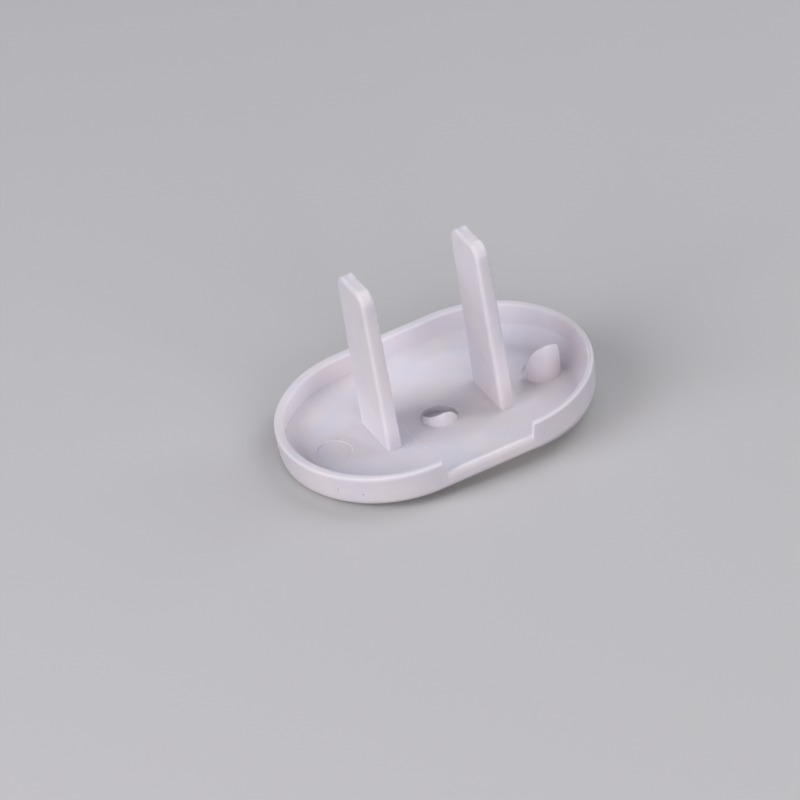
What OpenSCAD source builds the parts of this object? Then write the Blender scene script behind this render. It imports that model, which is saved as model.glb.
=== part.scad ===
/* [Cap] */
// Distance between the centres of the two round ends
end_pitch = 10.6; // [6:0.1:16]
// Radius of the round ends at the rim, outside
end_r = 11.45; // [10:0.05:14]
// Height of the wall from its lower edge to the rim
wall_h = 3.55; // [3.2:0.05:6]
// Thickness of the wall at the rim
wall_t = 0.85; // [0.6:0.05:1.5]
// How much the wall draws in from the rim to its lower edge
wall_draw = 0.15; // [0:0.05:0.3]
// Thickness of the plate between the flat face and the floor
plate_t = 1.5; // [1.1:0.1:2.2]
// Lean of the wall and the blades towards -X, in degrees from square to the flat face
lean = 4.3; // [1:0.1:6]

/* [Edges] */
// Rounding of the rim
rim_edge_r = 0.3; // [0.1:0.05:0.4]
// Rounding of the wall's lower edge
lower_edge_r = 0.8; // [0.3:0.1:1.2]
// Thickness of the shell round the floor fillet
shell_t = 0.65; // [0.5:0.05:0.8]
// Slope of the shoulder between the flat face and the wall, in degrees
shoulder_slope = 35; // [30:1:50]
// Fillet where the inside of the wall meets the floor
floor_fillet_r = 1.4; // [0.5:0.1:2]

/* [Pry notch] */
// Width of the notch in the near wall
notch_w = 9.9; // [4:0.1:10.2]
// How far the notch lies towards +X from the middle of the cap
notch_x = 0.15; // [-0.2:0.05:0.2]
// Depth of the notch below the rim
notch_depth = 1.55; // [0.5:0.05:2]
// Rounding of the notch sill, outside
sill_edge_r = 0.35; // [0.1:0.05:0.5]

/* [Blades] */
// Distance between the middles of the two blades
blade_pitch = 12.7; // [12.6:0.1:13.2]
// How far the blades stand above the rim
blade_reach = 15.65; // [12:0.05:18]
// Width of a blade at the wall's lower edge
blade_w = 6.4; // [5.6:0.05:7]
// Width of a blade at its tip
blade_tip_w = 5.6; // [4.5:0.05:6.4]
// Thickness of a blade at the wall's lower edge
blade_t = 1.6; // [1.3:0.05:2]
// Thickness of a blade at its tip
blade_tip_t = 1.3; // [0.9:0.05:1.6]
// Radius of the tip's two corners
tip_corner_r = 1.45; // [0.5:0.05:2]
// Rounding of the tip's long edges
tip_edge_r = 0.25; // [0.1:0.05:0.4]

/* [Ejector marks] */
// Diameter of the round marks that the ejector pins left on the floor
mark_d = 3.9; // [3:0.1:4.6]
// Depth of the left mark
left_mark_depth = 0.12; // [0.05:0.01:0.3]
// Depth of the middle mark
middle_mark_depth = 0.7; // [0.1:0.05:0.8]
// Depth of the right mark
right_mark_depth = 0.15; // [0.05:0.01:0.3]
// Width of the raised ring round the left mark
ring_w = 0.45; // [0.3:0.05:0.6]
// Height of the raised ring round the left mark
ring_h = 0.07; // [0.05:0.01:0.14]
// Thickness of the torn films of flash at the middle and right marks
film_t = 0.25; // [0.15:0.05:0.5]
// Height of the middle film
middle_film_h = 1.5; // [0.5:0.1:3]
// Height of the right film
right_film_h = 4.3; // [1:0.1:6]

/* [Hidden] */
$fn = 96;
margin = 1;
half_turn = 180;

// The wall's lower edge just clears the table at the low end, so the lean sets its height mid length
lower_r = end_r - wall_draw;
edge_middle = [lower_r - lower_edge_r, lower_edge_r];
face_drop = (end_pitch / 2 + edge_middle.x) * sin(lean) + lower_edge_r * (1 - cos(lean)) + 0.02;

// The tray is square to the flat face, apart from its draft, and runs out at the leaning rim
tray_draft = 1;
tray_top = face_drop + wall_h * cos(lean);
tray_shift = -wall_h * sin(lean);
tray_r = end_r - wall_t;
fillet_middle = [tray_r_at(plate_t + floor_fillet_r) - floor_fillet_r / cos(tray_draft), plate_t + floor_fillet_r];

// The rounding inside the rim starts this many degrees round, where it crosses the tray's wall
rim_start = 20;

// Where each mark lies on the floor, from the middle of the flat face
left_mark = [-11.7, -0.65];
middle_mark = [-0.15, -0.5];
right_mark = [12.1, 0.75];

// The films stand on the half of each mark that faces this many degrees from -Y towards -X
film_turn = 24;
film_bite = 0.06;
film_steps = 30;
film_foot = 0.06;
film_tear = -0.84;
film_end = 1.04;

function tray_r_at(z) = tray_r + (z - tray_top) * tan(tray_draft);
function middle_film_share(s) = (0.82 + 0.18 * sin(180 * (s + 0.1))) * sqrt(1 - pow(s, 6));
function right_film_share(s) = s <= film_tear ? film_foot
    : (1 - 0.25 * pow((0.3 - s) / 0.96, 2)) * sqrt(1 - (s < 0 ? pow(s / film_tear, 8) : pow(s / film_end, 12)));

// Puts a shape drawn square to the wall and blades into its leaning place over the flat face
module leaning() {
    translate([0, 0, face_drop]) rotate([0, -lean, 0]) children();
}

// Carries a half section round both ends and along both sides
module stretched() {
    for (side = [0, 1]) {
        rotate([0, 0, half_turn * side]) translate([end_pitch / 2, 0, 0]) rotate([0, 0, -90])
            rotate_extrude(angle = half_turn) children();
    }
    rotate([90, 0, 90]) translate([0, 0, -end_pitch / 2]) linear_extrude(end_pitch) {
        children();
        mirror([1, 0]) children();
    }
}

// Half section of the filled wall, with its rim and its lower edge
module wall_section() {
    polygon([
        [0, wall_h], [end_r - rim_edge_r, wall_h], [end_r, wall_h - rim_edge_r],
        [lower_r, lower_edge_r], [edge_middle.x, 0], [0, 0]
    ]);
    translate([end_r - rim_edge_r, wall_h - rim_edge_r]) circle(rim_edge_r);
    translate(edge_middle) circle(lower_edge_r);
}

// Half section of the filled face, from the flat face up its sloping shoulder
module face_section() {
    shell_r = floor_fillet_r + shell_t;
    shoulder = fillet_middle + shell_r * [sin(shoulder_slope), -cos(shoulder_slope)];
    polygon([
        [0, 0], [shoulder.x - shoulder.y / tan(shoulder_slope), 0], shoulder, fillet_middle, [0, fillet_middle.y]
    ]);
    intersection() {
        translate(fillet_middle) circle(shell_r);
        polygon([
            fillet_middle, fillet_middle + [2 * shell_r, 0],
            fillet_middle + 2 * shell_r * [1, -1 / tan(shoulder_slope)]
        ]);
    }
}

// Half section of the tray, with the fillet round its floor
module tray_section() {
    tray_high = tray_top + end_r;
    polygon([
        [0, plate_t], [fillet_middle.x, plate_t],
        fillet_middle + floor_fillet_r * [cos(tray_draft), -sin(tray_draft)],
        [tray_r_at(tray_high), tray_high], [0, tray_high]
    ]);
    translate(fillet_middle) circle(floor_fillet_r);
}

// Half section of what rounds the rim inside
module rim_section() {
    arc_x = tray_r + rim_edge_r * cos(rim_start);
    difference() {
        translate([0, wall_h - rim_edge_r]) square([arc_x, rim_edge_r + margin]);
        translate([arc_x, wall_h - rim_edge_r]) circle(rim_edge_r);
    }
}

// What the pry notch takes out of the near wall, with a rounded sill outside
module pry_notch() {
    sill = wall_h - notch_depth;
    inner_y = tray_r - floor_fillet_r / 2;
    outer_y = end_r + margin;
    sill_r = lower_r + wall_draw * (sill - lower_edge_r) / (wall_h - rim_edge_r - lower_edge_r);
    rotate([90, 0, 90]) translate([0, 0, notch_x - notch_w / 2]) linear_extrude(notch_w) {
        translate([-outer_y, sill]) square([outer_y - inner_y, notch_depth + margin]);
        difference() {
            translate([-outer_y, sill - sill_edge_r])
                square([outer_y - sill_r + sill_edge_r, sill_edge_r + film_bite]);
            translate([sill_edge_r - sill_r, sill - sill_edge_r]) circle(sill_edge_r);
        }
    }
}

// A blade's outline from its root to its tip, tapered and with two round corners
module blade_outline(root, base, tip, corner) {
    top = wall_h + blade_reach;
    taper = atan((base - tip) / 2 / top);
    half_root = base / 2 - root * tan(taper);
    middle_z = top - corner;
    middle_y = base / 2 - middle_z * tan(taper) - corner / cos(taper);
    polygon([
        [-half_root, root], [half_root, root],
        [middle_y + corner * cos(taper), middle_z + corner * sin(taper)], [middle_y, top],
        [-middle_y, top], [-middle_y - corner * cos(taper), middle_z + corner * sin(taper)]
    ]);
    for (side = [-1, 1]) translate([side * middle_y, middle_z]) circle(corner);
}

// One blade at x along the cap, rooted in the middle of the plate
module blade(x) {
    root = (plate_t / 2 - face_drop - x * sin(lean)) / cos(lean);
    translate([x, 0, 0]) intersection() {
        rotate([90, 0, 90]) translate([0, 0, -blade_t])
            linear_extrude(2 * blade_t) blade_outline(root, blade_w, blade_tip_w, tip_corner_r);
        rotate([90, 0, 0]) translate([0, 0, -blade_w])
            linear_extrude(2 * blade_w) blade_outline(root, blade_t, blade_tip_t, tip_edge_r);
    }
}

// Torn film on the near half of a mark, whose height follows a list of points
module film(outline) {
    outer = mark_d / 2 + film_bite;
    rotate([0, 0, -film_turn]) intersection() {
        difference() {
            cylinder(h = 2 * right_film_h, r = outer);
            translate([0, 0, -margin]) cylinder(h = 2 * (right_film_h + margin), r = outer - film_t);
        }
        rotate([90, 0, 0]) linear_extrude(mark_d) polygon(outline);
    }
}

module ejector_marks_cut() {
    for (mark = [
        [left_mark, left_mark_depth], [middle_mark, middle_mark_depth], [right_mark, right_mark_depth]
    ]) {
        translate([mark[0].x, mark[0].y, plate_t - mark[1]]) cylinder(h = mark[1] + margin / 2, d = mark_d);
    }
}

module ejector_marks_raised() {
    outer = mark_d / 2 + film_bite;
    translate([left_mark.x, left_mark.y, plate_t + ring_h - ring_w / 2])
        rotate_extrude() translate([mark_d / 2, 0]) circle(ring_w / 2);
    translate([middle_mark.x, middle_mark.y, plate_t - middle_mark_depth - film_bite])
        film(film_outline(outer, middle_film_h + middle_mark_depth, 1));
    translate([right_mark.x, right_mark.y, plate_t - right_mark_depth - film_bite])
        film(film_outline(outer, right_film_h + right_mark_depth, 0));
}

function film_outline(outer, high, middle) = concat(
    [[outer, 0], [-outer, 0]],
    [for (i = [0:film_steps]) let (s = 2 * i / film_steps - 1)
        [outer * s, high * max(0.02, middle == 1 ? middle_film_share(s) : right_film_share(s))]]
);

module outlet_cover() {
    color([0.93, 0.92, 0.93]) {
        difference() {
            union() {
                leaning() stretched() wall_section();
                translate([tray_shift, 0, 0]) stretched() face_section();
            }
            translate([tray_shift, 0, 0]) stretched() tray_section();
            leaning() stretched() rim_section();
            leaning() pry_notch();
            ejector_marks_cut();
        }
        leaning() for (side = [-1, 1]) blade(side * blade_pitch / 2);
        ejector_marks_raised();
    }
}

outlet_cover();
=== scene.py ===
import math
import bpy, bmesh
from mathutils import Vector, Matrix


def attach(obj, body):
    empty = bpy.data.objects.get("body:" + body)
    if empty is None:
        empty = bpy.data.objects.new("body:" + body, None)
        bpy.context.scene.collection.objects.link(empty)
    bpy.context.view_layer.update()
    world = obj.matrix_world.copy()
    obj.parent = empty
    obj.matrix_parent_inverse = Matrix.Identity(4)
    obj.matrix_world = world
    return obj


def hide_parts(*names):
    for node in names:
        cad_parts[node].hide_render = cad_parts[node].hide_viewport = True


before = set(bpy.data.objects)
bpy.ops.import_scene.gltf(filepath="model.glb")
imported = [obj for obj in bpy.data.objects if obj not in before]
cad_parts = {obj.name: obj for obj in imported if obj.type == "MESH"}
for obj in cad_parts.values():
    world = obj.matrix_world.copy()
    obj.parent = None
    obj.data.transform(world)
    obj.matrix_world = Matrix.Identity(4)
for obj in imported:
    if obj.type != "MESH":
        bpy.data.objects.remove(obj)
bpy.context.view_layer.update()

mm = 0.001    # every dictionary is in mm and degrees, every mesh in metres


def lin(code):    # sRGB hex to linear
    parts = [int(code[i:i + 2], 16) / 255 for i in (1, 3, 5)]
    return [p / 12.92 if p <= 0.04045 else ((p + 0.055) / 1.055) ** 2.4 for p in parts] + [1.0]


def addNode(tree, kind, settings=None, links=None):    # links: input -> value, node or (node, output)
    node = tree.nodes.new(kind)
    for key, value in (settings or {}).items():
        setattr(node, key, value)
    for key, value in (links or {}).items():
        if isinstance(value, bpy.types.Node):
            value = (value, 0)
        if isinstance(value, tuple) and isinstance(value[0], bpy.types.Node):
            tree.links.new(value[0].outputs[value[1]], node.inputs[key])
        else:
            node.inputs[key].default_value = value
    return node


def newTree(name, inputs):    # a geometry tree with its named inputs
    tree = bpy.data.node_groups.new(name, "GeometryNodeTree")
    tree.interface.new_socket("Geometry", in_out="OUTPUT", socket_type="NodeSocketGeometry")
    tree.interface.new_socket("Geometry", in_out="INPUT", socket_type="NodeSocketGeometry")
    for label, kind in inputs:
        tree.interface.new_socket(label, in_out="INPUT", socket_type="NodeSocket" + kind)
    return tree


def useTree(thing, tree, values):    # a modifier with its inputs set by the sockets' identifiers
    modifier = thing.modifiers.new(tree.name, "NODES")
    modifier.node_group = tree
    sockets = [s for s in tree.interface.items_tree if s.item_type == "SOCKET" and s.in_out == "INPUT"]
    ids = {s.name: s.identifier for s in sockets}
    for name, value in values.items():
        modifier[ids[name]] = value


def newObject(name, points, faces=(), edges=()):
    mesh = bpy.data.meshes.new(name)
    mesh.from_pydata([tuple(c * mm for c in p) for p in points], list(edges), list(faces))
    thing = bpy.data.objects.new(name, mesh)
    bpy.context.scene.collection.objects.link(thing)
    return thing


def closeUp(thing, gap=1e-6):    # merges doubles and turns the faces outwards
    work = bmesh.new()
    work.from_mesh(thing.data)
    bmesh.ops.remove_doubles(work, verts=work.verts, dist=gap)
    bmesh.ops.dissolve_degenerate(work, dist=gap / 4, edges=work.edges)
    bmesh.ops.recalc_face_normals(work, faces=work.faces)
    if work.calc_volume(signed=True) < 0:
        bmesh.ops.reverse_faces(work, faces=work.faces)
    work.to_mesh(thing.data)
    work.free()


def bakeModifiers(thing):    # turns the evaluated shape into a plain mesh
    bpy.context.view_layer.update()
    graph = bpy.context.evaluated_depsgraph_get()
    made = thing.evaluated_get(graph)
    mesh = bpy.data.meshes.new_from_object(made, preserve_all_data_layers=True, depsgraph=graph)
    thing.modifiers.clear()
    thing.data = mesh


def openEdges(thing):
    work = bmesh.new()
    work.from_mesh(thing.data)
    count = sum(1 for e in work.edges if not e.is_manifold)
    work.free()
    return count


def softCorner(share, power=3.0):    # a quarter turn, tight at its middle, that runs out softly into both faces
    a = math.pi / 2 * share
    return math.cos(a) ** (2 / power), math.sin(a) ** (2 / power)


def blendAt(table, s):    # value between the points of a table
    if s <= table[0][0]:
        return table[0][1]
    for (a, p), (b, q) in zip(table, table[1:]):
        if s <= b:
            t = (s - a) / (b - a)
            return p + (q - p) * t
    return table[-1][1]


plastic = {
    "cloudLow": "#DFDCE5", "cloudHigh": "#E6E0E4", "cloudSize": 4.0, "cloudEdges": (0.35, 0.65),
    "roughness": 0.68, "ior": 1.49, "grainSize": 0.3, "grainHeight": 0.03, "grainStrength": 0.15,
    # share, depth and tint of the light that goes a little way into the plastic
    "milky": 0.5, "milkyDepth": 0.8, "milkyTint": (0.9, 0.8, 0.9),
    # each blemish or painted shadow: middle, half lengths, turn round z, colour and strength
    "blemishesAndPaintedShadows": {
        "scratchFar": ((-4.02, -1.02, 1.5), (1.35, 0.09, 0.3), 85.0, "#F6F5FA", 0.55),
        "scratchMiddle": ((-4.05, -2.94, 1.5), (0.95, 0.10, 0.3), -85.0, "#F6F5FA", 0.6),
        "scratchNear": ((-3.80, -4.42, 1.5), (0.85, 0.10, 0.3), -76.0, "#F6F5FA", 0.6),
        "scratchByBlade": ((3.70, -0.75, 1.5), (0.5, 0.07, 0.3), -84.0, "#F6F5FA", 0.4),
        "speckNearLeft": ((-12.79, -8.64, 1.84), (0.14, 0.14, 0.14), 0.0, "#5A5560", 0.75),
        "speckLeft": ((-14.58, -6.71, 2.02), (0.12, 0.12, 0.12), 0.0, "#6A6670", 0.7),
        "speckRight": ((6.07, -11.34, 3.49), (0.09, 0.09, 0.09), 0.0, "#6A6670", 0.6),
        "rustyOnFloor": ((-10.6, 1.45, 1.5), (0.16, 0.12, 0.3), 0.0, "#B08A86", 0.6),
        # painted shadow: darker brownish patches on the floor where the right film and the right blade cast
        # shade
        "paintedShadowByFilm": ((9.25, -1.28, 1.5), (0.8, 0.5, 0.5), 20.0, "#CDBDB8", 0.35),
        "paintedShadowByBlade": ((8.5, -1.6, 1.5), (0.7, 0.5, 0.5), 20.0, "#CDC0BC", 0.3),
    },
}


def plasticMaterial():    # moulded white polypropylene: milky and satin, with flow clouds, specks, scratches and painted shadows on the floor
    material = bpy.data.materials.new("mouldedWhitePolypropylene")
    material.use_nodes = True
    tree = material.node_tree
    tree.nodes.clear()
    place = (addNode(tree, "ShaderNodeTexCoord"), "Object")
    flow = addNode(tree, "ShaderNodeTexNoise", None, {
        "Vector": place, "Scale": 1 / (plastic["cloudSize"] * mm), "Detail": 3.0, "Roughness": 0.5})
    colour = addNode(tree, "ShaderNodeValToRGB", None, {"Fac": (flow, "Fac")})
    for element, at, code in zip(colour.color_ramp.elements, plastic["cloudEdges"], ("cloudLow", "cloudHigh")):
        element.position, element.color = at, lin(plastic[code])
    # each blemish and each painted shadow is a soft patch of its own colour
    for middle, halves, turn, code, strength in plastic["blemishesAndPaintedShadows"].values():
        local = addNode(tree, "ShaderNodeMapping", {"vector_type": "TEXTURE"}, {
            "Vector": place, "Location": Vector(middle) * mm, "Rotation": (0, 0, math.radians(turn)),
            "Scale": Vector(halves) * mm})
        far = addNode(tree, "ShaderNodeVectorMath", {"operation": "LENGTH"}, {0: local})
        share = addNode(tree, "ShaderNodeMapRange", {"interpolation_type": "SMOOTHSTEP"}, {
            "Value": (far, "Value"), "From Min": 0.1, "From Max": 1.0, "To Min": strength, "To Max": 0.0})
        colour = addNode(tree, "ShaderNodeMixRGB", None, {
            "Fac": share, "Color1": colour, "Color2": lin(code)})
    grain = addNode(tree, "ShaderNodeTexNoise", None, {
        "Vector": place, "Scale": 1 / (plastic["grainSize"] * mm), "Detail": 2.0})
    bump = addNode(tree, "ShaderNodeBump", None, {
        "Strength": plastic["grainStrength"], "Distance": plastic["grainHeight"] * mm,
        "Height": (grain, "Fac")})
    shader = addNode(tree, "ShaderNodeBsdfPrincipled", None, {
        "Base Color": colour, "Roughness": plastic["roughness"], "IOR": plastic["ior"],
        "Subsurface Weight": plastic["milky"], "Subsurface Radius": plastic["milkyTint"],
        "Subsurface Scale": plastic["milkyDepth"] * mm, "Normal": bump})
    addNode(tree, "ShaderNodeOutputMaterial", None, {"Surface": shader})
    return material


coverPlastic = plasticMaterial()
print("plastic ready")


cap = {
    "endPitch": 10.6, "endRadius": 11.45, "lowerRadius": 11.3, "wallHeight": 3.55, "plate": 1.5, "lean": 4.3,
    "rimOuter": 0.36, "rimInner": 0.34, "innerRadius": 10.57, "lowerEdge": 0.8,
    "wallThick": 0.85, "trayDraft": 1.0, "floorFillet": 1.4, "shell": 0.65, "shoulderSlope": 35.0,
    "undersideBlend": 0.35,
    "creaseRadius": 10.76, "creaseHeight": 0.96, "creaseSoft": 0.1, "coveStart": 10.1, "coveBend": 9.75,
    "coveFoot": 9.0, "coveLean": 0.22, "floorSoft": 0.22, "coreShift": (0.15, -0.17),
    "partingHeight": 1.75, "partingStep": 0.014, "partingRidge": 0.01, "partingSoft": 0.06,
    "partingWidth": 0.09,
    "notchMiddle": 0.15, "notchHalf": 4.95, "notchDepth": 1.55, "notchSoft": 0.17,
    "sillRound": (0.36, 0.75), "sillInner": 0.2,
    "arcSteps": 120, "sideSteps": 44,
    # flash left on the parting line: place, reach and size
    "nibs": [((-16.6, 2.40, 2.56), 0.14, 0.22), ((14.72, -6.0, 5.7), 0.06, 0.3)],
}
leanAngle = math.radians(cap["lean"])
# the wall's lower edge just clears the table at the low end, so the lean sets its height mid length
faceDrop = ((cap["endPitch"] / 2 + cap["lowerRadius"] - cap["lowerEdge"]) * math.sin(leanAngle)
            + cap["lowerEdge"] * (1 - math.cos(leanAngle)) + 0.02)
trayShift = -cap["wallHeight"] * math.sin(leanAngle)


def between(*parts):    # (weight, leans, r, z) of several points -> upright place, leaning place, lean share
    sums = [[0.0, 0.0, 1e-12], [0.0, 0.0, 1e-12]]
    for weight, leans, r, z in parts:
        for i, value in enumerate((r, z, 1.0)):
            sums[leans][i] += weight * value
    return [(s[0] / s[2], s[1] / s[2]) for s in sums] + [min(1.0, sums[1][2])]


def undersideRows():    # the flat face and its shoulder, and the wall's rounded lower edge
    trayTop = faceDrop + cap["wallHeight"] * math.cos(leanAngle)
    filletZ = cap["plate"] + cap["floorFillet"]
    trayR = cap["endRadius"] - cap["wallThick"]
    filletR = trayR + (filletZ - trayTop) * math.tan(math.radians(cap["trayDraft"])) - cap["floorFillet"]
    shellR = cap["floorFillet"] + cap["shell"]
    slope = math.radians(cap["shoulderSlope"])
    meetR, meetZ = filletR + shellR * math.sin(slope), filletZ - shellR * math.cos(slope)
    faceR = meetR - meetZ / math.tan(slope)
    steepAt, steepness = filletR + shellR * 0.999, 8    # from here the shoulder goes on almost upright
    flatTo, faceSoft = 8, 0.006    # the face is level up to there, and its corner is softened beyond
    tail, tailSoft = 0.0015, 0.04    # what brings the softened corner back down to the face

    def shoulder(r):
        if r > steepAt:
            return filletZ + (r - steepAt) * steepness
        if r > meetR:
            return filletZ - math.sqrt(shellR ** 2 - (r - filletR) ** 2)
        rise = (r - faceR) * math.tan(slope)
        corner = (rise + math.sqrt(rise * rise + faceSoft)) / 2
        return corner - (tail / (abs(rise) + tailSoft) if r < faceR else 0)
    edgeR, rows, turnSteps = cap["lowerRadius"] - cap["lowerEdge"], [], 14
    for r in [0, 2.5, 5, 7, 8.0, 8.3, 8.5, 8.65, 8.8, 9.0, 9.25, 9.5, 9.8, 10.1, 10.35]:
        rows.append({"up": (r, max(0.0, shoulder(r) if r > flatTo else 0.0)), "down": (r, 0.0),
                     "lean": min(1.0, r / edgeR) ** 4, "under": 1.0})
    for i in range(turnSteps + 1):
        a = math.radians(-90 + 90 * i / turnSteps)
        r = edgeR + cap["lowerEdge"] * math.cos(a)
        rows.append({"up": (r, shoulder(r)), "down": (r, cap["lowerEdge"] * (1 + math.sin(a))), "under": 1.0})
    return rows


def wallRows():    # up the outside, over the rim and down the inside, and the same for the lowered sill
    rows = []
    low, top, sill = cap["lowerEdge"], cap["wallHeight"], cap["wallHeight"] - cap["notchDepth"]
    across, high = cap["sillRound"]
    sillInner, fadeIn = cap["sillInner"], 0.4    # the parting line fades in above the lower edge
    wallSteps, roundSteps, innerSteps = 16, 12, 10

    def outside(z):
        return cap["lowerRadius"] + (cap["endRadius"] - cap["lowerRadius"]) * (z - low) / (top - low)
    for i in range(1, wallSteps + 1):
        z = low + (top - cap["rimOuter"] - low) * i / wallSteps
        step = 1 / (1 + math.exp((z - cap["partingHeight"]) / cap["partingSoft"]))
        ridge = math.exp(-((z - cap["partingHeight"]) / cap["partingWidth"]) ** 2)
        proud = (cap["partingStep"] * step + cap["partingRidge"] * ridge) * min(1, (z - low) / fadeIn)
        sillZ = low + (sill - high - low) * i / wallSteps
        rows.append({"down": (outside(z) + proud, z), "sill": (outside(sillZ), sillZ)})
    for i in range(1, roundSteps + 1):
        level, upright = softCorner(i / roundSteps)
        a = math.radians(90 * i / roundSteps)
        rows.append({
            "down": (outside(top - cap["rimOuter"]) - cap["rimOuter"] * (1 - level),
                     top - cap["rimOuter"] * (1 - upright)),
            "sill": (outside(sill - high) - across * (1 - math.cos(a)), sill - high * (1 - math.sin(a)))})
    inner, rim = cap["innerRadius"], cap["rimInner"]
    for i in range(roundSteps, -1, -1):
        level, upright = softCorner(i / roundSteps)
        rows.append({
            "down": (inner + rim * (1 - level), top - rim * (1 - upright)), "core": 1.0,
            "sill": (inner + sillInner * (1 - level), sill - sillInner * (1 - upright)), "floor": 1.0})
    foot = cap["creaseHeight"] + cap["creaseSoft"]
    for i in range(1, innerSteps + 1):    # the inside runs out a little towards the crease
        r = inner + (cap["creaseRadius"] - inner) * (i / innerSteps) ** 2
        rows.append({
            "down": (r, top - rim + (foot - top + rim) * i / innerSteps), "core": 1.0,
            "sill": (r, sill - sillInner + (foot - sill + sillInner) * i / innerSteps), "floor": 1.0})
    return rows


def coveParts(t):    # the hollow between the leaning crease and the level floor
    start, crease, share = 3 * t * (1 - t) ** 2, cap["creaseHeight"], cap["coveLean"]
    return [((1 - t) ** 3, 1, cap["creaseRadius"], crease), (start * share, 1, cap["coveStart"], crease),
            (start * (1 - share), 0, cap["coveStart"], cap["plate"]),
            (3 * t * t * (1 - t), 0, cap["coveBend"], cap["plate"]),
            (t ** 3, 0, cap["coveFoot"], cap["plate"])]


def insideRows():    # the softened crease, the cove and the floor
    rows, first = [], 0.12    # where on the cove the softened crease ends
    crease, softSteps, coveSteps = cap["creaseHeight"], 5, 16
    for i in range(1, softSteps):
        s = i / softSteps
        parts = [((1 - s) ** 2, 1, cap["creaseRadius"], crease + cap["creaseSoft"]),
                 (2 * s * (1 - s), 1, cap["creaseRadius"], crease)]
        parts += [(s * s * w, leans, r, z) for w, leans, r, z in coveParts(first)]
        up, down, lean = between(*parts)
        rows.append({"up": up, "down": down, "lean": lean, "core": 1.0, "floor": 1.0})
    for i in range(coveSteps + 1):
        t = first + (1 - first) * i / coveSteps
        up, down, lean = between(*coveParts(t))
        rows.append({"up": up, "down": down, "lean": lean, "core": 1.0, "floor": 1.0 - t ** 4})
    for r in [8.4, 7.2, 5.5, 3.5, 1.5, 0]:
        rows.append({"up": (r, cap["plate"]), "lean": 0.0, "core": 1.0})
    return rows


def ovalPath():    # the same stations on both long sides, closer together at the notch's ends
    half, r = cap["endPitch"] / 2, cap["endRadius"]
    xs = [-half + cap["endPitch"] * i / cap["sideSteps"] for i in range(1, cap["sideSteps"])]
    ends, soft = [cap["notchMiddle"] + s * cap["notchHalf"] for s in (-1, 1)], cap["notchSoft"]
    clear, fine, short = 0.06, 6, 0.01    # gaps to keep, and how many stations lie in half a soft end
    xs = [x for x in xs if min(abs(x - e) for e in ends) > soft + clear]
    xs += [e + soft * t / fine for e in ends for t in range(-fine, fine + 1)]
    xs = sorted(x for x in xs if abs(x) < half - short)
    n = cap["arcSteps"]
    turns = [math.pi * (i / n - 0.5) for i in range(n + 1)]
    points = [(half + r * math.cos(a), r * math.sin(a), 0) for a in turns] + [(x, r, 0) for x in reversed(xs)]
    points += [(-half - r * math.cos(a), -r * math.sin(a), 0) for a in turns] + [(x, -r, 0) for x in xs]
    return newObject("ovalPath", points, edges=[(i, (i + 1) % len(points)) for i in range(len(points))])


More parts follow.
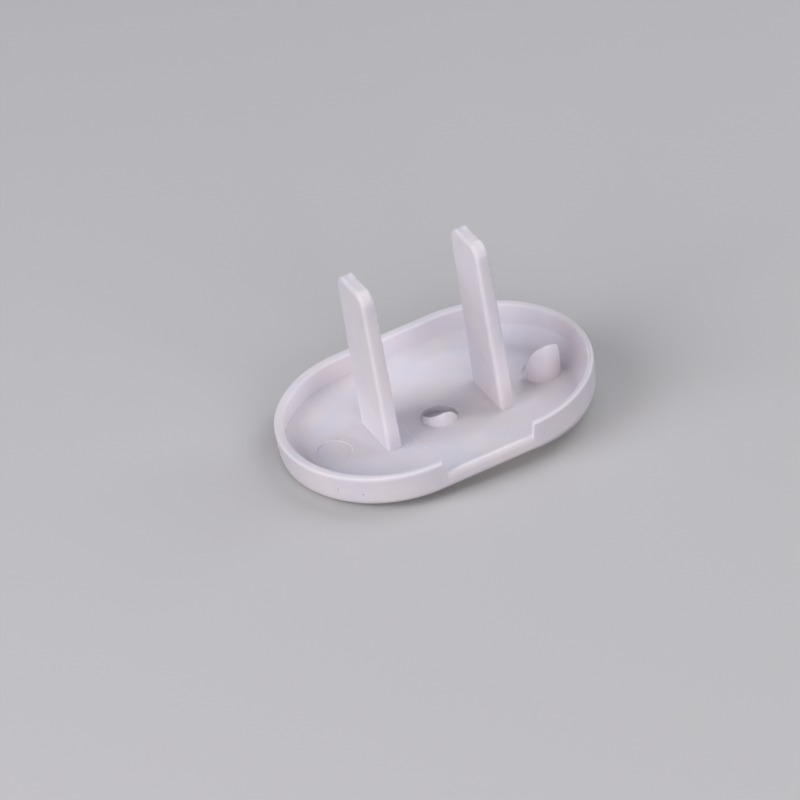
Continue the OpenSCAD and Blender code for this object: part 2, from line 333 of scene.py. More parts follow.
def capTree():    # carries the section round the oval, part of it upright and part of it leaning
    tree = newTree("sectionRoundOval", [
        ("Path", "Object"), ("End Pitch", "Float"), ("Lean", "Float"), ("Face Drop", "Float"),
        ("Tray Shift", "Float"), ("Core Shift", "Vector"), ("Plate", "Float"), ("Floor Softness", "Float"),
        ("Underside Blend", "Float"), ("Notch Middle", "Float"), ("Notch Half Width", "Float"),
        ("Notch Softness", "Float"), ("Plastic", "Material")])
    sums, vectors, read = "ShaderNodeMath", "ShaderNodeVectorMath", "GeometryNodeInputNamedAttribute"
    g = addNode(tree, "NodeGroupInput")
    # every station of the path keeps its centre and its outward direction
    path = addNode(tree, "GeometryNodeObjectInfo", {"transform_space": "ORIGINAL"}, {"Object": (g, "Path")})
    curve = addNode(tree, "GeometryNodeMeshToCurve", None, {"Mesh": (path, "Geometry")})
    spot = addNode(tree, "GeometryNodeInputPosition")
    spotXyz = addNode(tree, "ShaderNodeSeparateXYZ", None, {0: spot})
    halfPitch = addNode(tree, sums, {"operation": "MULTIPLY"}, {0: (g, "End Pitch"), 1: 0.5})
    minusHalf = addNode(tree, sums, {"operation": "MULTIPLY"}, {0: (g, "End Pitch"), 1: -0.5})
    atLeast = addNode(tree, sums, {"operation": "MAXIMUM"}, {0: (spotXyz, 0), 1: minusHalf})
    atMost = addNode(tree, sums, {"operation": "MINIMUM"}, {0: atLeast, 1: halfPitch})
    centre = addNode(tree, "ShaderNodeCombineXYZ", None, {0: atMost})
    away = addNode(tree, vectors, {"operation": "SUBTRACT"}, {0: spot, 1: centre})
    outward = addNode(tree, vectors, {"operation": "NORMALIZE"}, {0: away})
    for name, value in (("centre", centre), ("outward", outward)):
        curve = addNode(tree, "GeometryNodeStoreNamedAttribute",
                        {"data_type": "FLOAT_VECTOR", "domain": "POINT"},
                        {"Geometry": curve, "Name": name, "Value": value})
    section = addNode(tree, "GeometryNodeMeshToCurve", None, {"Mesh": (g, "Geometry")})
    sweep = addNode(tree, "GeometryNodeCurveToMesh", None, {"Curve": curve, "Profile Curve": section})
    kept = {name: addNode(tree, read, {"data_type": "FLOAT_VECTOR"}, {"Name": name})
            for name in ("centre", "outward", "up", "down", "sill")}
    kept.update({name: addNode(tree, read, {"data_type": "FLOAT"}, {"Name": name})
                 for name in ("lean", "under", "core", "floor")})
    # the lowered sill takes the rim's place within the notch, on the near side
    middleXyz = addNode(tree, "ShaderNodeSeparateXYZ", None, {0: kept["centre"]})
    outXyz = addNode(tree, "ShaderNodeSeparateXYZ", None, {0: kept["outward"]})
    offMiddle = addNode(tree, sums, {"operation": "SUBTRACT"}, {0: (middleXyz, 0), 1: (g, "Notch Middle")})
    across = addNode(tree, sums, {"operation": "ABSOLUTE"}, {0: offMiddle})
    full = addNode(tree, sums, {"operation": "SUBTRACT"},
                   {0: (g, "Notch Half Width"), 1: (g, "Notch Softness")})
    gone = addNode(tree, sums, {"operation": "ADD"}, {0: (g, "Notch Half Width"), 1: (g, "Notch Softness")})
    within = addNode(tree, "ShaderNodeMapRange", {"interpolation_type": "SMOOTHSTEP"},
                     {"Value": across, "From Min": full, "From Max": gone, "To Min": 1.0, "To Max": 0.0})
    nearSide = -0.9    # the outward direction's y on the near wall
    near = addNode(tree, sums, {"operation": "LESS_THAN"}, {0: (outXyz, 1), 1: nearSide})
    notched = addNode(tree, sums, {"operation": "MULTIPLY"}, {0: (within, 0), 1: near})
    profile = addNode(tree, "ShaderNodeMix", {"data_type": "VECTOR"},
                      {0: notched, 4: kept["down"], 5: kept["sill"]})
    # one place of each point in the level frame and one in the leaning frame
    upXyz = addNode(tree, "ShaderNodeSeparateXYZ", None, {0: kept["up"]})
    downXyz = addNode(tree, "ShaderNodeSeparateXYZ", None, {0: (profile, 1)})
    places = []
    for xyz in (upXyz, downXyz):
        reach = addNode(tree, vectors, {"operation": "SCALE"}, {0: kept["outward"], "Scale": (xyz, 0)})
        level = addNode(tree, vectors, {"operation": "ADD"}, {0: kept["centre"], 1: reach})
        lift = addNode(tree, "ShaderNodeCombineXYZ", None, {2: (xyz, 2)})
        places.append(addNode(tree, vectors, {"operation": "ADD"}, {0: level, 1: lift}))
    slide = addNode(tree, "ShaderNodeCombineXYZ", None, {0: (g, "Tray Shift")})
    upright = addNode(tree, vectors, {"operation": "ADD"}, {0: places[0], 1: slide})
    back = addNode(tree, sums, {"operation": "MULTIPLY"}, {0: (g, "Lean"), 1: -1.0})
    turned = addNode(tree, "ShaderNodeVectorRotate", {"rotation_type": "Y_AXIS"},
                     {"Vector": places[1], "Angle": back})
    drop = addNode(tree, "ShaderNodeCombineXYZ", None, {2: (g, "Face Drop")})
    leaning = addNode(tree, vectors, {"operation": "ADD"}, {0: turned, 1: drop})
    mix = addNode(tree, "ShaderNodeMix", {"data_type": "VECTOR"}, {0: kept["lean"], 4: upright, 5: leaning})
    core = addNode(tree, vectors, {"operation": "SCALE"}, {0: (g, "Core Shift"), "Scale": kept["core"]})
    shifted = addNode(tree, vectors, {"operation": "ADD"}, {0: (mix, 1), 1: core})
    # below, the lower of shoulder and edge; inside, nothing under the floor
    uprightXyz = addNode(tree, "ShaderNodeSeparateXYZ", None, {0: upright})
    leaningXyz = addNode(tree, "ShaderNodeSeparateXYZ", None, {0: leaning})
    shiftedXyz = addNode(tree, "ShaderNodeSeparateXYZ", None, {0: shifted})
    lower = addNode(tree, sums, {"operation": "SMOOTH_MIN"},
                    {0: (uprightXyz, 2), 1: (leaningXyz, 2), 2: (g, "Underside Blend")})
    lowest = addNode(tree, sums, {"operation": "MAXIMUM"}, {0: lower, 1: 0.0})
    above = addNode(tree, sums, {"operation": "SMOOTH_MAX"},
                    {0: (shiftedXyz, 2), 1: (g, "Plate"), 2: (g, "Floor Softness")})
    below = addNode(tree, "ShaderNodeMix", {"data_type": "FLOAT"},
                    {0: kept["under"], 2: (shiftedXyz, 2), 3: lowest})
    height = addNode(tree, "ShaderNodeMix", {"data_type": "FLOAT"}, {0: kept["floor"], 2: below, 3: above})
    final = addNode(tree, "ShaderNodeCombineXYZ", None, {0: (shiftedXyz, 0), 1: (shiftedXyz, 1), 2: height})
    moved = addNode(tree, "GeometryNodeSetPosition", None, {"Geometry": sweep, "Position": final})
    merged = addNode(tree, "GeometryNodeMergeByDistance", None, {"Geometry": moved, "Distance": 1e-6})
    smooth = addNode(tree, "GeometryNodeSetShadeSmooth", None, {"Geometry": merged, "Shade Smooth": True})
    real = addNode(tree, "GeometryNodeRealizeInstances", None, {"Geometry": smooth})
    coat = addNode(tree, "GeometryNodeSetMaterial", None, {"Geometry": real, "Material": (g, "Plastic")})
    addNode(tree, "NodeGroupOutput", None, {0: coat})
    return tree


def makeCap():
    rows = undersideRows() + wallRows() + insideRows()
    points = [(row.get("down", row.get("up"))[0], 0, i * 0.1) for i, row in enumerate(rows)]
    thing = newObject("outletCoverMoulding", points, edges=[(i, i + 1) for i in range(len(rows) - 1)])
    for name in ("up", "down", "sill"):
        layer = thing.data.attributes.new(name, "FLOAT_VECTOR", "POINT")
        for i, row in enumerate(rows):
            r, z = row.get(name, row.get("down", (0, 0)))
            layer.data[i].vector = (r * mm, 0, z * mm)
    for name, usual in (("lean", 1.0), ("under", 0.0), ("core", 0.0), ("floor", 0.0)):
        layer = thing.data.attributes.new(name, "FLOAT", "POINT")
        for i, row in enumerate(rows):
            layer.data[i].value = row.get(name, usual)
    path = ovalPath()
    useTree(thing, capTree(), {
        "Path": path, "End Pitch": cap["endPitch"] * mm, "Lean": leanAngle, "Face Drop": faceDrop * mm,
        "Tray Shift": trayShift * mm, "Core Shift": [c * mm for c in cap["coreShift"]] + [0.0],
        "Plate": cap["plate"] * mm, "Floor Softness": cap["floorSoft"] * mm,
        "Underside Blend": cap["undersideBlend"] * mm, "Notch Middle": cap["notchMiddle"] * mm,
        "Notch Half Width": cap["notchHalf"] * mm, "Notch Softness": cap["notchSoft"] * mm,
        "Plastic": coverPlastic})
    bakeModifiers(thing)
    bpy.data.objects.remove(path)
    closeUp(thing, 2e-6)
    work = bmesh.new()
    work.from_mesh(thing.data)
    for level in (0.0, cap["plate"] * mm):    # the flat face and the floor become one face each
        flat = [f for f in work.faces if all(abs(v.co.z - level) < 1e-8 for v in f.verts)]
        bmesh.ops.dissolve_faces(work, faces=flat, use_verts=True)
    work.normal_update()
    for place, reach, size in cap["nibs"]:
        for v in work.verts:
            share = math.exp(-((v.co - Vector(place) * mm).length / (size * mm)) ** 2)
            v.co += v.normal * reach * mm * share
    work.to_mesh(thing.data)
    work.free()
    return thing


moulding = makeCap()
print("cap swept:", len(moulding.data.vertices), "points,", openEdges(moulding), "open edges")


prong = {
    "pitch": 12.7, "top": 19.5, "width": 6.4, "tipWidth": 5.7, "thick": 1.6, "tipThick": 1.5,
    "cornerRadius": 1.5, "edgeRadius": 0.6, "rootFlare": 0.1, "sink": 0.035,
    # the tip's hollow, its rise towards the camera and its two nibs
    "tipZone": 0.9, "tipSink": 0.12, "hollowHalf": 0.5, "nearRise": 0.1, "riseReach": 2.8,
    "nibRise": 0.16, "nibPlace": 1.7, "nibSize": 0.7,
    "ragged": 0.24, "raggedSize": 0.7, "raggedZone": 0.5, "seed": 3.0,
}


def prongShape():    # one blade round its own middle, from inside the plate to its tip, all edges rounded
    top, corner, edge = prong["top"], prong["cornerRadius"], prong["edgeRadius"]
    taper = math.atan((prong["width"] - prong["tipWidth"]) / 2 / top)
    middleZ = top - corner
    middleY = prong["width"] / 2 - middleZ * math.tan(taper) - corner / math.cos(taper)
    floorZ = (cap["plate"] - faceDrop) / math.cos(leanAngle)

    def halfThick(z):
        return (prong["thick"] + (prong["tipThick"] - prong["thick"]) * z / top) / 2
    # rows: one deep in the plate, close ones past the floor, wider ones up the blade, then the tip's corners
    rootEnd, rootStart, rootStep, rootRows, bladeRows, arcRows = 0.55, 0.35, 0.05, 21, 26, 14
    heights = [floorZ - rootEnd] + [floorZ - rootStart + rootStep * i for i in range(rootRows)]
    heights += [heights[-1] + (middleZ - heights[-1]) * i / bladeRows for i in range(1, bladeRows + 1)]
    start = math.degrees(taper)
    arcs = [start + (90 - start) * i / arcRows for i in range(1, arcRows + 1)]
    columns, edgeSteps, count = 14, 10, len(heights) + len(arcs)
    sinkFades = (1.2, 1, 2)    # below the tip, where it starts above the cap's base, and over what height
    points, faces = [], []

    def outline(i, inset):    # width and height of outline point i, inset along its normal
        if i < len(heights):
            return prong["width"] / 2 - heights[i] * math.tan(taper) - inset / math.cos(taper), heights[i]
        a = math.radians(arcs[i - len(heights)])
        return middleY + (corner - inset) * math.cos(a), middleZ + (corner - inset) * math.sin(a)

    def grid(rows):
        base, wide = len(points), len(rows[0])
        for row in rows:
            points.extend(row)
        for i in range(len(rows) - 1):
            for j in range(wide - 1):
                a = base + i * wide + j
                faces.append((a, a + 1, a + wide + 1, a + wide))

    def rounded(inner, outer):    # one row across the thickness, from one broad face round to the other
        half, row, turns = halfThick(inner[1]) - edge, [], range(edgeSteps + 1)
        for sign, i in [(-1, edgeSteps - i) for i in turns] + [(0, 0)] + [(1, i) for i in turns]:
            out, aside = softCorner(i / edgeSteps)
            row.append((sign * (half + edge * aside), inner[0] + (outer[0] - inner[0]) * out,
                        inner[1] + (outer[1] - inner[1]) * out))
        return row
    for side in (-1, 1):    # the two broad faces, slightly sunk in the middle
        rows = []
        for y, z in (outline(i, edge) for i in range(count)):
            under, rise, over = sinkFades
            sunk = prong["sink"] * min(1, max(0, (top - z - edge) / under)) * min(1, max(0, z - rise) / over)
            steps = [2 * j / columns - 1 for j in range(columns + 1)]
            rows.append([(side * (halfThick(z) - sunk * (1 - s * s) ** 2), y * s, z) for s in steps])
        grid(rows)
    for side in (-1, 1):    # the two narrow edges and the tip's corners
        ends = [(outline(i, edge), outline(i, 0)) for i in range(count)]
        grid([rounded((side * a[0], a[1]), (side * b[0], b[1])) for a, b in ends])
    y, z = outline(count - 1, edge)
    across = [y * (2 * j / columns - 1) for j in range(columns + 1)]
    grid([rounded((c, z), (c, z + edge)) for c in across])    # the tip
    blade = newObject("prongShape", points, faces)
    work = bmesh.new()
    work.from_mesh(blade.data)
    bmesh.ops.remove_doubles(work, verts=work.verts, dist=2e-6)
    bmesh.ops.holes_fill(work, edges=[e for e in work.edges if e.is_boundary])
    for v in work.verts:    # the tip rises towards the camera and has two nibs at its far corner
        x, y, z = v.co / mm
        near = min(1.0, max(0.0, 1 - (top - z) / prong["tipZone"]))
        hollow = max(0.0, 1 - (x / prong["hollowHalf"]) ** 2)
        corner = math.exp(-((y - prong["nibPlace"]) / prong["nibSize"]) ** 2)
        rise = prong["nearRise"] * -y / prong["riseReach"] - prong["tipSink"] * hollow * 0.5
        v.co.z += mm * near * (rise + corner * (prong["nibRise"] - prong["tipSink"] * hollow))
    bmesh.ops.recalc_face_normals(work, faces=work.faces)
    work.to_mesh(blade.data)
    work.free()
    return blade


def prongTree():
    tree = newTree("pairOfProngs", [
        ("Prong", "Object"), ("Pitch", "Float"), ("Lean", "Float"), ("Face Drop", "Float"),
        ("Floor", "Float"), ("Root Flare", "Float"), ("Top", "Float"), ("Ragged Zone", "Float"),
        ("Raggedness", "Float"), ("Ragged Scale", "Float"), ("Seed", "Float"), ("Plastic", "Material")])
    sums, vectors = "ShaderNodeMath", "ShaderNodeVectorMath"
    g = addNode(tree, "NodeGroupInput")
    shape = addNode(tree, "GeometryNodeObjectInfo", {"transform_space": "ORIGINAL"}, {"Object": (g, "Prong")})
    half = addNode(tree, sums, {"operation": "MULTIPLY"}, {0: (g, "Pitch"), 1: -0.5})
    start = addNode(tree, "ShaderNodeCombineXYZ", None, {0: half})
    step = addNode(tree, "ShaderNodeCombineXYZ", None, {0: (g, "Pitch")})
    line = addNode(tree, "GeometryNodeMeshLine", {"mode": "OFFSET"},
                   {"Count": 2, "Start Location": start, "Offset": step})
    copies = addNode(tree, "GeometryNodeInstanceOnPoints", None,
                     {"Points": line, "Instance": (shape, "Geometry")})
    both = addNode(tree, "GeometryNodeRealizeInstances", None, {"Geometry": copies})
    spot = addNode(tree, "GeometryNodeInputPosition")
    spotXyz = addNode(tree, "ShaderNodeSeparateXYZ", None, {0: spot})
    # the tips are ragged where they broke from their gates, the right one twice as much
    under = addNode(tree, sums, {"operation": "SUBTRACT"}, {0: (g, "Top"), 1: (g, "Ragged Zone")})
    tip = addNode(tree, "ShaderNodeMapRange", {"interpolation_type": "SMOOTHSTEP"}, {
        "Value": (spotXyz, 2), "From Min": under, "From Max": (g, "Top"), "To Min": 0.0, "To Max": 1.0})
    right = addNode(tree, sums, {"operation": "GREATER_THAN"}, {0: (spotXyz, 0), 1: 0.0})
    more = addNode(tree, sums, {"operation": "MULTIPLY_ADD"}, {0: right, 1: 0.5, 2: 0.5})
    rough = addNode(tree, "ShaderNodeTexNoise", {"noise_dimensions": "4D"},
                    {"Vector": spot, "W": (g, "Seed"), "Scale": (g, "Ragged Scale"), "Detail": 1.0})
    swing = addNode(tree, sums, {"operation": "SUBTRACT"}, {0: (rough, 0), 1: 0.5})
    size = addNode(tree, sums, {"operation": "MULTIPLY"}, {0: swing, 1: (g, "Raggedness")})
    atTip = addNode(tree, sums, {"operation": "MULTIPLY"}, {0: size, 1: (tip, 0)})
    bumpy = addNode(tree, sums, {"operation": "MULTIPLY"}, {0: atTip, 1: more})
    tear = addNode(tree, "ShaderNodeCombineXYZ", None, {2: bumpy})
    torn = addNode(tree, "GeometryNodeSetPosition", None, {"Geometry": both, "Offset": tear})
    # both blades turn into their leaning place
    back = addNode(tree, sums, {"operation": "MULTIPLY"}, {0: (g, "Lean"), 1: -1.0})
    turned = addNode(tree, "ShaderNodeVectorRotate", {"rotation_type": "Y_AXIS"},
                     {"Vector": spot, "Angle": back})
    lift = addNode(tree, "ShaderNodeCombineXYZ", None, {2: (g, "Face Drop")})
    raised = addNode(tree, vectors, {"operation": "ADD"}, {0: turned, 1: lift})
    placed = addNode(tree, "GeometryNodeSetPosition", None, {"Geometry": torn, "Position": raised})
    # a small fillet at the root: points near the floor move out along their level normals
    normal = addNode(tree, "GeometryNodeInputNormal")
    level = addNode(tree, vectors, {"operation": "MULTIPLY"}, {0: normal, 1: (1, 1, 0)})
    above = addNode(tree, sums, {"operation": "SUBTRACT"}, {0: (spotXyz, 2), 1: (g, "Floor")})
    share = addNode(tree, sums, {"operation": "DIVIDE"}, {0: above, 1: (g, "Root Flare")})
    least = 0.03    # keeps the flare's end short of level
    share = addNode(tree, sums, {"operation": "MAXIMUM"}, {0: share, 1: least})
    share = addNode(tree, sums, {"operation": "MINIMUM"}, {0: share, 1: 1.0})
    rest = addNode(tree, sums, {"operation": "SUBTRACT"}, {0: 1.0, 1: share})
    squared = addNode(tree, sums, {"operation": "MULTIPLY"}, {0: rest, 1: rest})
    arc = addNode(tree, sums, {"operation": "SUBTRACT"}, {0: 1.0, 1: squared})
    root = addNode(tree, sums, {"operation": "SQRT"}, {0: arc})
    flare = addNode(tree, sums, {"operation": "SUBTRACT"}, {0: 1.0, 1: root})
    reach = addNode(tree, sums, {"operation": "MULTIPLY"}, {0: flare, 1: (g, "Root Flare")})
    push = addNode(tree, vectors, {"operation": "SCALE"}, {0: level, "Scale": reach})
    flared = addNode(tree, "GeometryNodeSetPosition", None, {"Geometry": placed, "Offset": push})
    smooth = addNode(tree, "GeometryNodeSetShadeSmooth", None, {"Geometry": flared, "Shade Smooth": True})
    real = addNode(tree, "GeometryNodeRealizeInstances", None, {"Geometry": smooth})
    coat = addNode(tree, "GeometryNodeSetMaterial", None, {"Geometry": real, "Material": (g, "Plastic")})
    addNode(tree, "NodeGroupOutput", None, {0: coat})
    return tree


def makeProngs():
    shape = prongShape()
    pair = newObject("prongs", [])
    useTree(pair, prongTree(), {
        "Prong": shape, "Pitch": prong["pitch"] * mm, "Lean": leanAngle, "Face Drop": faceDrop * mm,
        "Floor": cap["plate"] * mm, "Root Flare": prong["rootFlare"] * mm, "Top": prong["top"] * mm,
        "Ragged Zone": prong["raggedZone"] * mm, "Raggedness": prong["ragged"] * mm,
        "Ragged Scale": 1 / (prong["raggedSize"] * mm), "Seed": prong["seed"], "Plastic": coverPlastic})
    bakeModifiers(pair)
    bpy.data.objects.remove(shape)
    closeUp(pair)
    return pair


prongs = makeProngs()
print("prongs made,", openEdges(prongs), "open edges")


marks = {
    "place": {"left": (-11.78, -0.15), "middle": (-0.15, -0.5), "right": (12.1, 0.75)},
    "radius": {"left": 1.95, "middle": 1.88, "right": 1.95},
    "depth": {"left": 0.1, "middle": 0.75, "right": 0.15}, "softness": 0.04,
    # raised rings: mark, radius, width and height
    "rings": {"leftRing": ("left", 1.95, 0.34, 0.05), "leftHalo": ("left", 2.35, 0.5, 0.022),
              "middleLip": ("middle", 2.06, 0.26, 0.02)},
    "ringRoot": 0.15,
    # torn films stand on the half of a mark that faces this many degrees from -Y towards -X
    "filmTurn": 24.0, "filmThick": 0.26, "filmFoot": 0.14, "filmRoot": 0.1, "filmOver": 0.06,
    # height of each film from its left end, -1, to its right end, 1
    "height": {
        "middle": [(-1, .25), (-.95, .5), (-.85, .76), (-.7, .86), (-.5, 1.0), (-.25, 1.2), (0, 1.38),
                   (.25, 1.5), (.5, 1.5), (.7, 1.32), (.85, .9), (.95, .45), (1, .15)],
        "right": [(-1, .12), (-.87, .15), (-.84, .5), (-.8, 1.15), (-.75, 2.0), (-.7, 2.4), (-.6, 2.9),
                  (-.5, 3.28), (-.35, 3.65), (-.2, 3.95), (0, 4.17), (.2, 4.3), (.5, 4.32), (.7, 4.12),
                  (.88, 3.8), (.93, 3.4), (.97, 2.6), (1, 1.8)]},
    # how far a film's left foot is tucked in, and how far its top leans out
    "tuck": {"middle": 0.0, "right": 0.07}, "leans": {"middle": -0.12, "right": 0.0},
    # a thin curl of flash by the right film
    "curl": [(9.82, 0.68, 1.55), (9.9, 0.35, 1.58), (10.04, 0.12, 1.6), (10.2, 0.12, 1.63),
             (10.42, 0.2, 1.66), (10.7, 0.1, 1.7)],
    "curlThick": 0.13,
}


def turnedSolid(name, profile, steps=96):    # closed (r, z) profile turned round the z axis
    points, faces, count = [], [], len(profile)
    for i in range(steps):
        a = 2 * math.pi * i / steps
        points += [(r * math.cos(a), r * math.sin(a), z) for r, z in profile]
    for i in range(steps):
        j = (i + 1) % steps
        for k in range(count):
            n = (k + 1) % count
            faces.append((i * count + k, j * count + k, j * count + n, i * count + n))
    thing = newObject(name, points, faces)
    closeUp(thing)
    return thing


def moved(thing, place):
    thing.data.transform(Matrix.Translation(Vector(place) * mm))
    return thing


def recess(name):    # what an ejector pin's head pressed in, with softened edges
    r, soft, draft, above = marks["radius"][name], marks["softness"], 0.01, 0.5
    depth, place = marks["depth"][name], marks["place"][name]
    lowTurns, topTurns = [math.pi / 2 * i / 5 for i in range(6)], [0.3 * i for i in range(1, 5)]
    low = [(r - soft + soft * math.sin(a), soft - soft * math.cos(a)) for a in lowTurns]
    top = [(r + soft - soft * math.cos(a), depth - soft + soft * math.sin(a)) for a in topTurns]
    profile = [(0, 0)] + low + [(r + draft, depth - soft)] + top
    profile += [(r + soft, depth + above), (0, depth + above)]
    return moved(turnedSolid(name + "Recess", profile), (place[0], place[1], cap["plate"] - depth))


def raisedRing(name):
    mark, radius, width, height = marks["rings"][name]
    place = marks["place"][mark]
    sides, root = 20, marks["ringRoot"]
    around = [2 * math.pi * i / sides for i in range(sides)]
    profile = [(radius + width / 2 * math.cos(a), (height if math.sin(a) > 0 else root) * math.sin(a))
               for a in around]
    return moved(turnedSolid(name, profile), (place[0], place[1], cap["plate"]))


def film(name):    # a torn web of flash on the near half of a mark
    over, root, thick, foot = marks["filmOver"], marks["filmRoot"], marks["filmThick"], marks["filmFoot"]
    r = marks["radius"][name] + over
    table, tuck, lean = marks["height"][name], marks["tuck"][name], marks["leans"][name]
    depth, place = marks["depth"][name], marks["place"][name]
    steps, levels, turn = 96, 14, math.radians(-marks["filmTurn"])
    end, least, crowding, footLow = 0.995, 0.08, 1.6, 0.015
    swells, tuckHeight, innerDraft = 0.25, 1.5, 0.02    # a lower stump than that doesn't swell at its foot
    rows = []
    for i in range(steps + 1):
        s = -end + 2 * end * i / steps
        high = max(least, blendAt(table, s)) + depth
        row = []
        for k in range(levels + 1):    # up the outside, which swells where it meets the floor
            t = (k / levels) ** crowding
            z = -root + (high + root - thick * 0.3) * t
            rise = max(0.0, foot - max(footLow, z - depth))
            swell = foot - math.sqrt(foot ** 2 - rise ** 2) if high - depth > swells else over
            row.append((r + swell + lean * t * t, z))
        row += [(r - thick * 0.18 + lean, high - thick * 0.06), (r - thick * 0.4 + lean, high)]
        for k in range(levels, -1, -1):    # down the inside
            t = k / levels
            row.append((r - thick - innerDraft * (1 - t) + lean * t * t,
                        -root + (high + root - thick * 0.35) * t))
        around = []
        for q, z in row:
            drawn = s * (1 - tuck * max(0.0, 1 - (z - depth) / tuckHeight) ** 2) if s < 0 else s
            a = math.asin(drawn) - math.pi / 2 + turn    # round the near half, from left to right
            around.append((q * math.cos(a), q * math.sin(a), z))
        rows.append(around)
    wide = len(rows[0])
    points = [p for row in rows for p in row]
    faces = [tuple(range(wide)), tuple(range(len(points) - wide, len(points)))]
    for i in range(steps):
        for j in range(wide):
            n = (j + 1) % wide
            faces.append((i * wide + j, (i + 1) * wide + j, (i + 1) * wide + n, i * wide + n))
    thing = newObject(name + "Film", points, faces)
    closeUp(thing)
    return moved(thing, (place[0], place[1], cap["plate"] - depth))


def curl():    # a thread of flash that tapers at its free end
    path, thick = [Vector(p) for p in marks["curl"]], marks["curlThick"] / 2
    stations, pieces = [], 4
    for i in range(len(path) - 1):    # a smooth line through the points
        a, b, c, d = path[max(0, i - 1)], path[i], path[i + 1], path[min(len(path) - 1, i + 2)]
        for k in range(pieces):
            t = k / pieces
            stations.append(0.5 * (2 * b + (c - a) * t + (2 * a - 5 * b + 4 * c - d) * t * t
                                   + (3 * b - a - 3 * c + d) * t ** 3))
    stations.append(path[-1])
    sides, points, faces = 10, [], []
    for i, p in enumerate(stations):
        ahead = (stations[min(i + 1, len(stations) - 1)] - stations[max(i - 1, 0)]).normalized()
        flat = ahead.cross(Vector((0, 0, 1))).normalized()
        r = thick * min(1.0, 0.45 + 0.2 * i)
        for k in range(sides):
            a = 2 * math.pi * k / sides
            points.append(p + flat * r * math.cos(a) + Vector((0, 0, 1)) * r * math.sin(a))
    for i in range(len(stations) - 1):
        for k in range(sides):
            n = (k + 1) % sides
            faces.append((i * sides + k, i * sides + n, (i + 1) * sides + n, (i + 1) * sides + k))
    faces += [tuple(range(sides)), tuple(range(len(points) - sides, len(points)))]
    thing = newObject("flashCurl", [tuple(p) for p in points], faces)
    closeUp(thing)
    return thing


def combine(base, other, operation):
    modifier = base.modifiers.new("join", "BOOLEAN")
    modifier.operation, modifier.solver, modifier.object = operation, "EXACT", other
    otherOpen = openEdges(other)
    bakeModifiers(base)
    print(operation, other.name, "with", otherOpen, "open edges, leaves", openEdges(base))
    bpy.data.objects.remove(other)


for name in marks["place"]:
    combine(moulding, recess(name), "DIFFERENCE")
for name in marks["rings"]:
    combine(moulding, raisedRing(name), "UNION")
for name in marks["height"]:
    combine(moulding, film(name), "UNION")
combine(moulding, curl(), "UNION")
combine(moulding, prongs, "UNION")
print("joined:", len(moulding.data.polygons), "faces")


def finishMesh(thing, sharpFrom=38):
    work = bmesh.new()
    work.from_mesh(thing.data)
    bmesh.ops.remove_doubles(work, verts=work.verts, dist=2e-6)
    bmesh.ops.dissolve_degenerate(work, dist=1e-6, edges=work.edges)
    slivers = {v for e in work.edges if e.is_boundary for v in e.verts}    # left by the booleans
    bmesh.ops.remove_doubles(work, verts=list(slivers), dist=2e-5)
    for f in work.faces:
        f.smooth = True
        f.material_index = 0
    print("open edges:", sum(1 for e in work.edges if not e.is_manifold),
          "volume mm3:", round(work.calc_volume() * 1e9, 1))
    work.to_mesh(thing.data)
    work.free()
    thing.data.materials.clear()
    thing.data.materials.append(coverPlastic)
    thing.data.set_sharp_from_angle(angle=math.radians(sharpFrom))
    sharp = thing.data.attributes["sharp_edge"]
    for face in thing.data.polygons:    # the floor and the face below shade flat up to their borders
        if abs(face.normal.z) > 0.9999 and min(abs(face.center.z - z * mm) for z in (0, cap["plate"])) < 1e-7:
            for loop in face.loop_indices:
                sharp.data[thing.data.loops[loop].edge_index].value = True
    for name in ("up", "down", "sill", "lean", "under", "core", "floor", "centre", "outward"):
        if name in thing.data.attributes:
            thing.data.attributes.remove(thing.data.attributes[name])


finishMesh(moulding)
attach(moulding, "root")
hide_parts("outlet_cover")


table = {"side": 1200.0, "shown": "#CDCCCC", "bounced": "#6E6E72"}


def addTable():    # pale and matt; what it throws back at the cover is darker, as the photograph's table is
    half = table["side"] / 2
    corners = [(x * half, y * half, 0) for x, y in ((-1, -1), (1, -1), (1, 1), (-1, 1))]
    top = newObject("tableTop", corners, [(0, 1, 2, 3)])
    material = bpy.data.materials.new("paleMattTable")
    material.use_nodes = True
    tree = material.node_tree
    tree.nodes.clear()
    rays = addNode(tree, "ShaderNodeLightPath")
    seen = addNode(tree, "ShaderNodeMath", {"operation": "MAXIMUM"},
                   {0: (rays, "Is Camera Ray"), 1: (rays, "Is Glossy Ray")})
    seen = addNode(tree, "ShaderNodeMath", {"operation": "MAXIMUM"},
                   {0: seen, 1: (rays, "Is Transmission Ray")})
    shown = addNode(tree, "ShaderNodeBsdfDiffuse", None, {"Color": lin(table["shown"])})
    bounced = addNode(tree, "ShaderNodeBsdfDiffuse", None, {"Color": lin(table["bounced"])})
    mix = addNode(tree, "ShaderNodeMixShader", None, {0: seen, 1: bounced, 2: shown})
    addNode(tree, "ShaderNodeOutputMaterial", None, {"Surface": mix})
    top.data.materials.append(material)


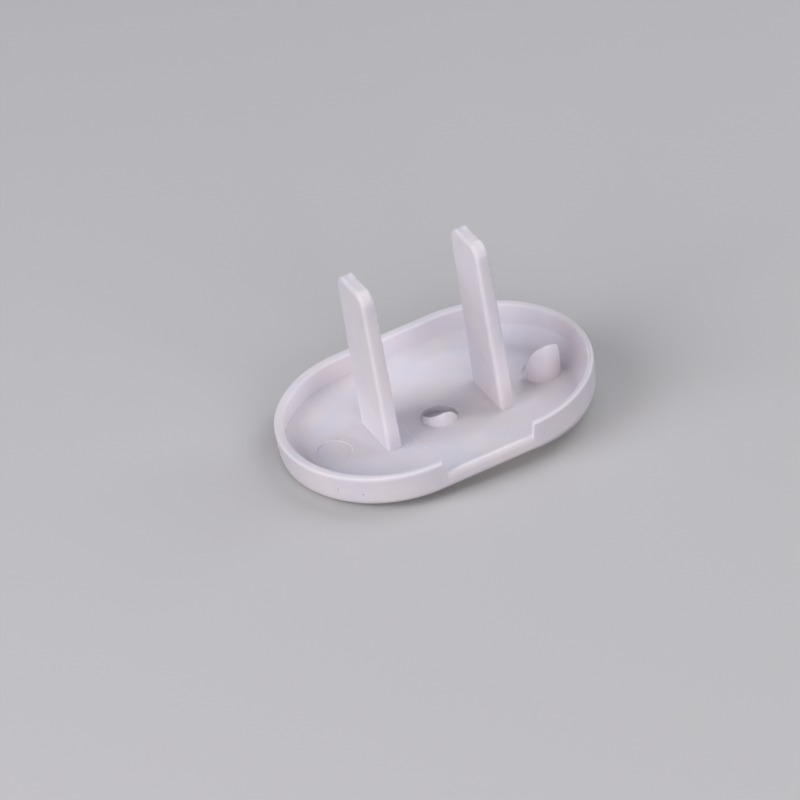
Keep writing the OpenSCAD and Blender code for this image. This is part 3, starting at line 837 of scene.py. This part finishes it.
light = {
    "world": 0.1, "worldTint": "#FFFFFF", "distance": 450.0, "size": 300.0,
    # softboxes: azimuth from +X, height, power in watts and tint
    "softboxes": {
        "leftHigh": (180, 35, 1.0, (0.98, 1.0, 1.08)), "leftLow": (210, 15, 0.563, (1.13, 1.0, 0.93)),
        "front": (270, 15, 0.965, (1.03, 1.0, 1.03)), "right": (0, 50, 0.68, (0.98, 1.0, 1.05)),
        "back": (60, 50, 0.205, (1.03, 1.0, 1.12)),
    },
}


def addLights():
    world = bpy.data.worlds.new("softRoom")
    bpy.context.scene.world = world
    world.use_nodes = True
    world.node_tree.nodes["Background"].inputs[0].default_value = lin(light["worldTint"])
    world.node_tree.nodes["Background"].inputs[1].default_value = light["world"]
    for name, (azimuth, height, power, tint) in light["softboxes"].items():
        data = bpy.data.lights.new(name, "AREA")
        data.size, data.energy, data.color = light["size"] * mm, power, tint
        lamp = bpy.data.objects.new(name, data)
        a, e = math.radians(azimuth), math.radians(height)
        away = Vector((math.cos(a) * math.cos(e), math.sin(a) * math.cos(e), math.sin(e)))
        lamp.location = away * light["distance"] * mm
        lamp.rotation_euler = (-away).to_track_quat("-Z", "Y").to_euler()
        bpy.context.scene.collection.objects.link(lamp)


# the photograph's view: the camera's direction and tilt, and the origin's place beside its axis and in depth
view = {
    "azimuth": 24.111, "elevation": 35.043, "roll": -5.309, "lens": 225.0, "sensor": 36,
    "offset": (3.955, -2.54, 501.593),
}


def addCamera():
    azimuth, elevation, roll = (math.radians(view[k]) for k in ("azimuth", "elevation", "roll"))
    flat = math.cos(elevation)
    ahead = Vector((math.sin(azimuth) * flat, math.cos(azimuth) * flat, -math.sin(elevation)))
    level = Vector((math.cos(azimuth), -math.sin(azimuth), 0))
    upright = level.cross(ahead)
    right = level * math.cos(roll) + upright * math.sin(roll)
    up = -level * math.sin(roll) + upright * math.cos(roll)
    x, y, z = view["offset"]
    data = bpy.data.cameras.new("photoCamera")
    data.lens, data.sensor_width, data.clip_start = view["lens"], view["sensor"], 0.01
    camera = bpy.data.objects.new("photoCamera", data)
    turn = Matrix((right, up, -ahead)).transposed().to_4x4()
    camera.matrix_world = Matrix.Translation(-(right * x + up * y + ahead * z) * mm) @ turn
    bpy.context.scene.collection.objects.link(camera)
    bpy.context.scene.camera = camera


addTable()
addLights()
addCamera()
bpy.context.scene.view_settings.view_transform = "Standard"
print("table, light and camera set")
